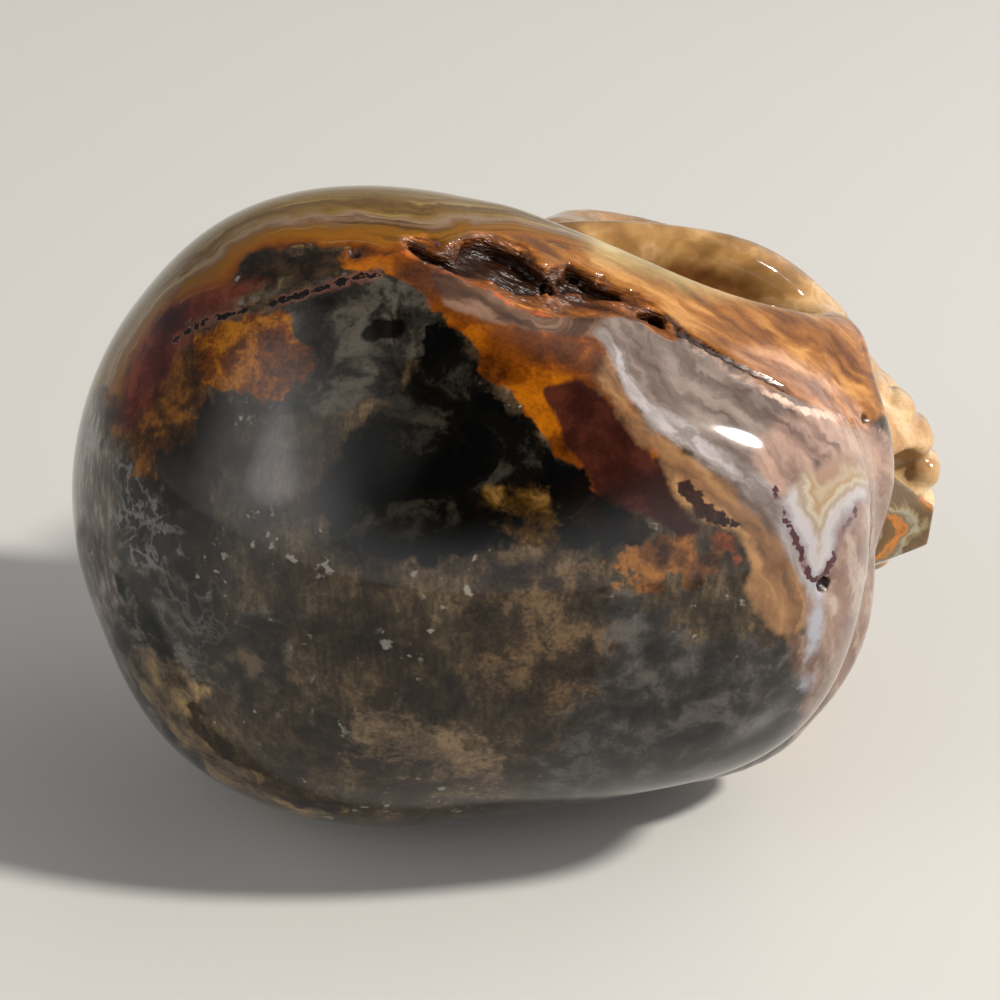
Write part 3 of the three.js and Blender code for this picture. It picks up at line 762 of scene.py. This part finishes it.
def agate_material(look, fields):
    """Crazy lace agate, sawn, ground and polished: clear quartz over bands, so the gloss is sharp and the
    colours deep. The crack was left broken, so it is duller and rough."""
    material = bpy.data.materials.new("polished_lace_agate")
    material.use_nodes = True
    tree = material.node_tree
    tree.nodes.clear()
    eased = {"interpolation_type": "SMOOTHSTEP"}

    def node(kind, *values, **settings):
        return add(tree, kind, *values, **settings)

    def bend(size, reach, where):
        """Coordinates pushed about by noise of that size, as far as reach, in mm."""
        push = node("TexNoise", where, 0.0, 1 / size, 2.0, 0.6, out="Color")
        push = node("VectorMath:SUBTRACT", push, (0.5,) * 3)
        return node("VectorMath:MULTIPLY_ADD", push, (reach,) * 3, where)

    def blend(a, b, part):
        """a with that part of b."""
        rest = node("Math:MULTIPLY", a, 1 - part)
        return node("Math:MULTIPLY_ADD", b, part, rest)

    def coated(colour, *coats):
        """The colour with each coat, a share and a tone, laid over it in turn."""
        for part, tone in coats:
            tone = hex_rgb(tone) if isinstance(tone, str) else tone
            colour = node("Mix", {0: part, 6: colour, 7: tone}, out=2, data_type="RGBA")
        return colour

    # Object coordinates in mm, turned to lie along the plane that the layers are drawn on
    to_plane = Matrix((view_axes() @ rest_axes().T).tolist()).to_euler()
    mm = node("Mapping", {0: node("TexCoord", out="Object"), 2: to_plane, 3: (1 / MM,) * 3})
    at = {
        "plain": mm, "bent": bend(9.0, 6.0, mm), "pushed": bend(7.0, 3.0, mm),
        "swirled": bend(4.0, 3.5, bend(14.0, 10.0, mm))}
    for name, where, turn, scale in DRAWN_OUT:
        turned = {0: at[where], 2: (0, 0, math.radians(turn)), 3: scale}
        at[name] = node("Mapping", turned, vector_type="TEXTURE")
    grain, shake = {}, {}
    for name, (size, detail, rough, where, start, end) in GRAINS.items():
        noise = node("TexNoise", at[where], 0.0, 1 / size, detail, rough)
        grain[name] = node("MapRange", noise, start, end, **eased)
    for name, (size, detail, rough, where, less) in SHAKES.items():
        noise = node("TexNoise", at[where], 0.0, 1 / size, detail, rough)
        shake[name] = node("Math:SUBTRACT", noise, less)
    field = {name: node("Attribute", out="Fac", attribute_name=name) for name in fields}
    mottle, cloud, fine, wobble, wave = (
        grain["mottle"], grain["soft_cloud"], grain["fine"], shake["wobble"], shake["wave"])

    def laced(distance, thick, reach):
        """Uneven bands along a line: noise that changes fast with the distance from it, slowly along it."""
        bent_way = node("Math:MULTIPLY_ADD", wobble, reach, distance)
        along = node("VectorMath:MULTIPLY", mm, (1 / 16,) * 3)
        across = node("VectorMath:MULTIPLY_ADD", bent_way, (0, 0, 1 / thick), along)
        return node("MapRange", node("TexNoise", across, 0.0, 1.0, 3.0, 0.52), 0.26, 0.74, **eased)

    vein = node("MapRange", node("Math:ABSOLUTE", shake["vein"]), 0.09, 0.0, **eased)
    patterns = {
        "mottle": blend(mottle, fine, 0.12),
        "fleck": blend(mottle, fine, 0.2),
        "clear": blend(blend(cloud, mottle, 0.3), fine, 0.12),
        "streak": blend(cloud, grain["upright"], 0.4),
        "smoke": blend(grain["smoke"], fine, 0.1),
        "drawn": blend(blend(grain["broad_streaks"], grain["streaks"], 0.45), fine, 0.06),
        "bands": blend(blend(laced(field["lace"], 1.7, 4.0), cloud, 0.25), grain["streaks"], 0.15),
        "ribbons": blend(laced(field["ember"], 1.3, 3.0), cloud, 0.3),
        "veins": blend(vein, mottle, 0.5),
    }

    # Bands of the rim, and those of the forehead beside the wine-red seam
    depth = node("Math:MULTIPLY_ADD", wave, 0.08, field["strata_depth"])
    depth = node("Math:MULTIPLY_ADD", wobble, 0.3, depth)
    lines = laced(node("Math:MULTIPLY", field["strata_depth"], 14.0), 0.9, 2.0)
    strata = node("ValToRGB", depth, bands=STRATA)
    for start, end, tone in STRATA_LINES:
        strata = coated(strata, (node("MapRange", lines, start, end, **eased), tone))
    far = node("Math:MULTIPLY", field["vee_line"], 1 / 8)
    far = node("Math:MULTIPLY_ADD", wobble, 0.4, far)
    part = node("Math:MULTIPLY", laced(field["vee_line"], 0.8, 3.0), VEE_LINES[0])
    forehead = coated(node("ValToRGB", far, bands=VEE), (part, VEE_LINES[1]))

    # Dark ground: brown-black jasper in blotches, with fine upright streaks, and grey specks
    ground = blend(blend(blend(grain["blotch"], grain["clump"], 0.4), grain["upright"], 0.2), fine, 0.12)
    speck = node("Math:MULTIPLY", grain["speck"], grain["swarm"])
    colour = coated(node("ValToRGB", ground, bands=GROUND), (speck, SPECK_TONE))
    for name, frayed, soft, kind, *tones in LAYERS:
        if tones:
            own = node("ValToRGB", patterns[kind], bands=tuple(zip(TONE_PLACES, tones)))
        else:
            own = strata if kind == "strata" else forehead
        ragged = shake["fray"] if kind in ROUGH_EDGED else wave
        edge = node("Math:MULTIPLY_ADD", ragged, 4 * frayed, field[name])
        colour = coated(colour, (node("MapRange", edge, soft / 2, -soft / 2, **eased), own))
    for name, width, strength, tone in THIN_LINES:
        away = node("Math:MULTIPLY_ADD", shake["tremble"], 1.5, field[name])
        part = node("Math:MULTIPLY", cloud, strength)
        part = node("Math:MULTIPLY", node("MapRange", away, width, width / 4, **eased), part)
        colour = coated(colour, (part, tone))

    # Face and underside: clear honey agate in soft clouds and bands, which begins below the temples
    rings = node("VectorMath:DISTANCE", at["swirled"], RINGS_MIDDLE, out="Value")
    turns = []
    for pitch in RING_PITCHES:
        turn = node("Math:MULTIPLY", rings, 2 * math.pi / pitch)
        turns.append(node("Math:MULTIPLY_ADD", node("Math:SINE", turn), 0.5, 0.5))
    honey = node("ValToRGB", blend(blend(turns[0], cloud, 0.7), turns[1], 0.08), bands=HONEY)
    low = node("Math:MULTIPLY_ADD", wave, 6.0, field["height"])
    tooth = node("ValToRGB", patterns["clear"], bands=TEETH)
    chevrons = node("Math:MULTIPLY", field["nose_along"], 0.15)
    chevrons = node("Math:MULTIPLY_ADD", wobble, 1.2, chevrons)
    nose = node("ValToRGB", node("Math:FRACT", chevrons), bands=NOSE)
    colour = coated(
        colour, (node("MapRange", low, *HONEY_START, **eased), honey),
        (node("MapRange", field["teeth"], 9.0, 0.3, **eased), tooth),
        (node("MapRange", field["nose"], 0.5, 0.15, **eased), nose))

    # Crack: broken stone, rust-brown at its lips; its darkening towards the bottom, like that of the other
    # hollows, is painted shade
    in_band = node("Math:MULTIPLY_ADD", wave, 1.2, field["crack_band"])
    on_top = node("MapRange", field["height"], 0.0, 4.0, **eased)
    in_crack = node("Math:MULTIPLY", node("MapRange", in_band, 0.3, -0.3, **eased), on_top)
    # The deeper under the surface, the darker: painted shade of the hollow
    painted_depth_shade = node("Math:MULTIPLY", field["under"], 0.42)
    crumbs = node("Math:MULTIPLY_ADD", shake["crumbs"], 1.3, painted_depth_shade)
    # Marks darken with their depth: painted shade, besides the black seam's own colour
    mark = node("MapRange", field["under"], 0.08, 0.3, **eased)
    mark = node("Math:MULTIPLY", mark, node("Math:SUBTRACT", 1.0, in_crack))
    grit_and_depth_shade = node("Math:MULTIPLY_ADD", fine, -0.5, node("Math", field["under"], 0.3))
    colour = coated(
        colour, (in_crack, node("ValToRGB", crumbs, bands=CRACK_TONES)),
        (mark, node("ValToRGB", grit_and_depth_shade, bands=MARK_TONES)))

    dull = node("Math:MAXIMUM", in_crack, mark)
    rough = node("Math:MULTIPLY_ADD", dull, BROKEN_ROUGHNESS, look.polish)
    shader = node("BsdfPrincipled", {
        "Base Color": colour, "Roughness": rough, "IOR": IOR, "Specular IOR Level": SPECULAR,
        "Normal": node("Bump", {"Height": shake["splinters"], "Distance": BUMP, "Strength": in_crack}),
    })
    node("OutputMaterial", shader, out=None)
    return material


# What a user would change


class AgateSkullShape(bpy.types.PropertyGroup):
    mesh_step: bpy.props.FloatProperty(
        name="Mesh step", description="Size of the faces of the carved surface",
        default=0.66 * MM, min=0.4 * MM, max=3 * MM, unit="LENGTH")
    crack_raggedness: bpy.props.FloatProperty(
        name="Crack raggedness", description="How far the walls of the crack are broken",
        default=0.8 * MM, min=0, max=2 * MM, unit="LENGTH")
    polish: bpy.props.FloatProperty(
        name="Polish", description="Roughness of the polished stone",
        default=0.07, min=0.01, max=0.6, subtype="FACTOR")


class AgateStageLook(bpy.types.PropertyGroup):
    floor_colour: bpy.props.FloatVectorProperty(
        name="Floor", description="Colour of the floor",
        default=hex_rgb("#bbbab7"), size=4, min=0, max=1, subtype="COLOR")
    key_power: bpy.props.FloatProperty(
        name="Key light", description="Power of the light at the right", default=16.5, min=0, unit="POWER")
    glow: bpy.props.FloatProperty(
        name="Side glow", description="Strength of the soft light at the front left", default=1.1, min=0)
    air: bpy.props.FloatProperty(
        name="Air light", description="Strength of the light from all round", default=1.32, min=0)


class OBJECT_OT_agate_skull(bpy.types.Operator):
    """Carve the skull and give it the agate"""
    bl_idname = "object.agate_skull"
    bl_label = "Carved Skull"

    def execute(self, context):
        shape = context.scene.agate_skull_shape
        step = shape.mesh_step / MM
        points, quads = skull_surface(step, shape.crack_raggedness / MM, 2)
        laid = points @ rest_axes().T
        low, high = laid.min(0), laid.max(0)
        solid_low, solid_high = (np.array(corner) / MM for corner in CAD_BOX)
        shift = (solid_low + solid_high - low - high) / 2
        shift[2] = solid_low[2] - low[2]
        mesh = bpy.data.meshes.new("agate_skull")
        mesh.vertices.add(len(points))
        mesh.vertices.foreach_set("co", ((laid + shift) * MM).astype(np.float32).ravel())
        mesh.loops.add(quads.size)
        mesh.loops.foreach_set("vertex_index", quads.astype(np.int32).ravel())
        mesh.polygons.add(len(quads))
        mesh.polygons.foreach_set("loop_start", np.arange(0, quads.size, 4, dtype=np.int32))
        mesh.polygons.foreach_set("use_smooth", np.ones(len(quads), bool))
        mesh.update(calc_edges=True)
        x, y, z = points.T
        u, v = on_plane(x, y, z)
        values = {name: to_line(outline, u, v, True) for name, outline in OUTLINES.items()}
        values.update({name: to_line(line, u, v) for name, line in LINES.items()})
        outer, inner = values.pop("rim"), values.pop("inner")
        values["strata_depth"] = outer / np.maximum(outer + inner, 0.5)
        values["height"] = z
        values["teeth"] = np.minimum(teeth((x, np.abs(y), z)), 12)
        values["nose"] = np.where(x > NOSE_START, np.abs(nose_wedge((x, np.abs(y), z))), CLEAR_OF_NOSE)
        values["nose_along"] = x - NOSE_TIP[0] + np.abs(y) * NOSE_SWEEP
        # Depth under the uncut surface, which darkens the crack and the marks as painted shade
        values["under"] = np.clip(np.minimum(-carved_mass(x, y, z), z - JAW_FLAT), -1, 6)
        for name, value in values.items():
            mesh.attributes.new(name, "FLOAT", "POINT").data.foreach_set("value", value.astype(np.float32))
        mesh.materials.append(agate_material(shape, values))
        skull = bpy.data.objects.new("agate_skull", mesh)
        context.collection.objects.link(skull)
        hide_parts("skull")
        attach(skull, "root")
        return {"FINISHED"}


class OBJECT_OT_agate_skull_stage(bpy.types.Operator):
    """Set the floor, the lights and the camera"""
    bl_idname = "object.agate_skull_stage"
    bl_label = "Stage"

    def execute(self, context):
        scene, look = context.scene, context.scene.agate_stage_look
        mesh = bpy.data.meshes.new("floor")
        mesh.from_pydata(FLOOR, [], [(0, 1, 2, 3)])
        floor = bpy.data.objects.new("floor", mesh)
        scene.collection.objects.link(floor)
        material = bpy.data.materials.new("satin_white_board")
        material.use_nodes = True
        shader = material.node_tree.nodes["Principled BSDF"]
        shader.inputs["Base Color"].default_value = look.floor_colour
        shader.inputs["Roughness"].default_value = FLOOR_ROUGHNESS
        mesh.materials.append(material)

        # Camera as the photograph was taken: turned into the laid skull's axes and moved with it
        axes, rest = view_axes(), rest_axes()
        place = axes[0] * VIEW_AIM[0] + axes[1] * VIEW_AIM[1] + axes[2] * VIEW_DISTANCE
        turned = rest @ axes.T
        there = (rest @ place + np.array(REST_SHIFT)) * MM
        data = bpy.data.cameras.new("camera")
        data.sensor_width, data.lens = 36.0, 36.0 * VIEW_FOCAL
        data.clip_start, data.clip_end = 0.01, 30
        camera = bpy.data.objects.new("camera", data)
        matrix = np.eye(4)
        matrix[:3, :3], matrix[:3, 3] = turned, there
        camera.matrix_world = Matrix(matrix.tolist())
        scene.collection.objects.link(camera)
        scene.camera = camera

        light = bpy.data.lights.new("key", "AREA")
        light.shape = "ELLIPSE"
        light.size, light.size_y = KEY_SIZE
        light.energy, light.color = look.key_power, hex_rgb(KEY_COLOUR)[:3]
        lamp = bpy.data.objects.new("key", light)
        a, e = math.radians(KEY_AZIMUTH), math.radians(KEY_ELEVATION)
        away = Vector((math.cos(a) * math.cos(e), math.sin(a) * math.cos(e), math.sin(e)))
        lamp.location = away * KEY_DISTANCE + Vector(KEY_AIM)
        lamp.rotation_euler = away.to_track_quat("Z", "Y").to_euler()
        scene.collection.objects.link(lamp)

        # Air: even, but for a dark card over the camera, which the middle of the crown mirrors, a dim far
        # side and a soft glow at the front left
        world = bpy.data.worlds.new("studio")
        world.use_nodes = True
        tree = world.node_tree
        here = add(tree, "TexCoord", out="Generated")

        def around(direction, start, end, low, high):
            """Strength that goes from low to high as the air's direction nears this one."""
            near = add(tree, "VectorMath:DOT_PRODUCT", here, direction, out="Value")
            return add(tree, "MapRange", near, start, end, low, high, interpolation_type="SMOOTHSTEP")

        card = around(*DARK_CARD[:3], look.air, DARK_CARD[3])
        strength = add(tree, "Math:MULTIPLY", card, around(*BACK_SHADE[:3], 1.0, BACK_SHADE[3]))
        for direction, start, end, high in GLOWS:
            strength = add(tree, "Math", strength, around(direction, start, end, 0.0, high * look.glow))
        tree.links.new(strength, tree.nodes["Background"].inputs[1])
        tree.nodes["Background"].inputs[0].default_value = AIR_COLOUR
        scene.world = world
        scene.view_settings.view_transform = "Standard"
        return {"FINISHED"}


class VIEW3D_PT_agate_skull(bpy.types.Panel):
    bl_label = "Agate Skull"
    bl_idname = "VIEW3D_PT_agate_skull"
    bl_space_type = "VIEW_3D"
    bl_region_type = "UI"
    bl_category = "Agate Skull"

    def draw(self, context):
        for group in (context.scene.agate_skull_shape, context.scene.agate_stage_look):
            for name in group.__annotations__:
                self.layout.prop(group, name)
        for operator in (OBJECT_OT_agate_skull, OBJECT_OT_agate_skull_stage):
            self.layout.operator(operator.bl_idname)


CLASSES = (
    AgateSkullShape, AgateStageLook, OBJECT_OT_agate_skull, OBJECT_OT_agate_skull_stage,
    VIEW3D_PT_agate_skull)


def register():
    for item in CLASSES:
        bpy.utils.register_class(item)
    bpy.types.Scene.agate_skull_shape = bpy.props.PointerProperty(type=AgateSkullShape)
    bpy.types.Scene.agate_stage_look = bpy.props.PointerProperty(type=AgateStageLook)


def unregister():
    del bpy.types.Scene.agate_skull_shape, bpy.types.Scene.agate_stage_look
    for item in reversed(CLASSES):
        bpy.utils.unregister_class(item)


def main():
    register()
    bpy.ops.object.agate_skull()
    bpy.ops.object.agate_skull_stage()


if __name__ == "__main__":
    main()
